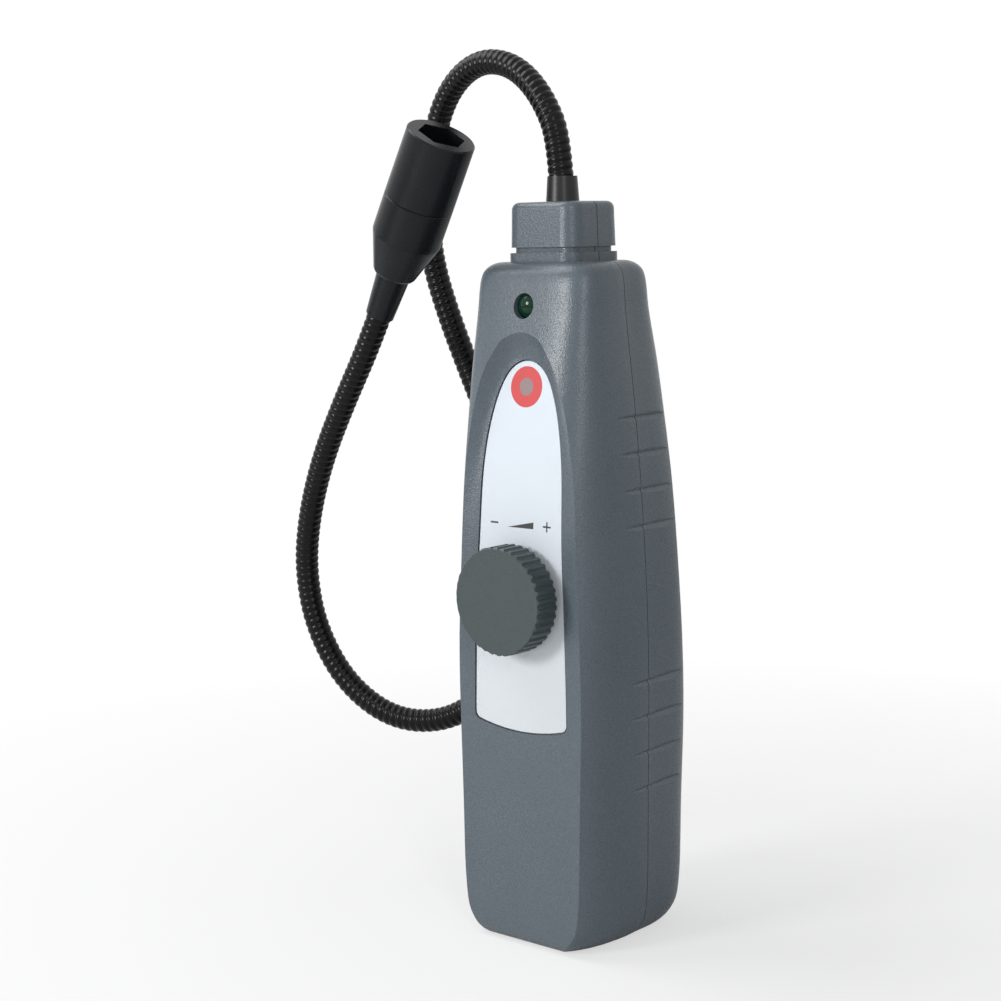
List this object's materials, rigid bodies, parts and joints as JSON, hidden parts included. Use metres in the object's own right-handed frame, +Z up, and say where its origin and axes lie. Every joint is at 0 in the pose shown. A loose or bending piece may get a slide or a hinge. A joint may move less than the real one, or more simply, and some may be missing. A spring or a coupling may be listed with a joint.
{
  "type": "leak detector",
  "caption": "Handheld gas leak detector: dished plastic body with an arched label and fluted sensitivity knob, and a looped gooseneck that ends in a turned probe head.",
  "frame": {"origin": "centre of the flat base face, on the plane where the covers part", "axes": "+Z up along the body, -Y out of the front with the knob and label, +X to the right as the front is seen"},
  "size_m": [0.1406, 0.0615, 0.2687],
  "materials": {
    "body_plastic": "fine spark texture, slate grey",
    "label_film": "printed film, satin",
    "knob_plastic": "fine matt",
    "bright_steel": "plated",
    "green_lens": "clear green, polished",
    "led_resin": "clear resin",
    "board_laminate": "solder mask",
    "black_plastic": "moulded",
    "capacitor_can": "sleeved can",
    "white_nylon": "moulded",
    "lead_sheath": "extruded",
    "cell_jacket": "plain shrink jacket",
    "spring_steel": "nickel plated",
    "black_ferrule": "black, satin",
    "brass_nut": "turned",
    "gooseneck_coat": "glossy black",
    "head_black": "black, satin, turned",
    "element_can": "pressed can",
    "porous_filter": "sintered, dark red-brown"
  },
  "bodies": {
    "case": {"front_cover": "body_plastic", "rear_cover": "body_plastic", "label_plate": "label_film", "sensitivity_pot": "bright_steel", "pot_nut": "bright_steel", "power_lens": "green_lens", "power_led": "led_resin", "leak_led": "led_resin", "circuit_board": "board_laminate", "board_screws": "bright_steel", "buzzer": "black_plastic", "control_chip": "black_plastic", "smoothing_capacitor": "capacitor_can", "lead_plug": "white_nylon", "sensor_lead": "lead_sheath", "case_screws": "bright_steel", "battery_1": "cell_jacket", "battery_2": "cell_jacket", "battery_3": "cell_jacket", "battery_springs": "spring_steel", "battery_contacts": "spring_steel", "base_ferrule": "black_ferrule", "ferrule_nut": "brass_nut", "gooseneck": "gooseneck_coat", "sensor_sleeve": "head_black", "sensor_holder": "head_black", "sensor_cap": "head_black", "sensor_element": "element_can", "sensor_filter": "porous_filter"},
    "sensitivity_knob": {"knob": "knob_plastic", "knob_shaft": "bright_steel"},
    "battery_door": {"battery_cover": "body_plastic"}
  },
  "joints": [
    {"name": "knob_turn", "type": "hinge", "parent": "case", "child": "sensitivity_knob", "pos_m": [0, -0.03, 0.1063], "axis": [0, 1, 0], "range_deg": [0, 300]},
    {"name": "battery_cover_hinge", "type": "hinge", "parent": "case", "child": "battery_door", "pos_m": [0, 0.0255, 0.0128], "axis": [-1, 0, 0], "range_deg": [0, 60]}
  ]
}
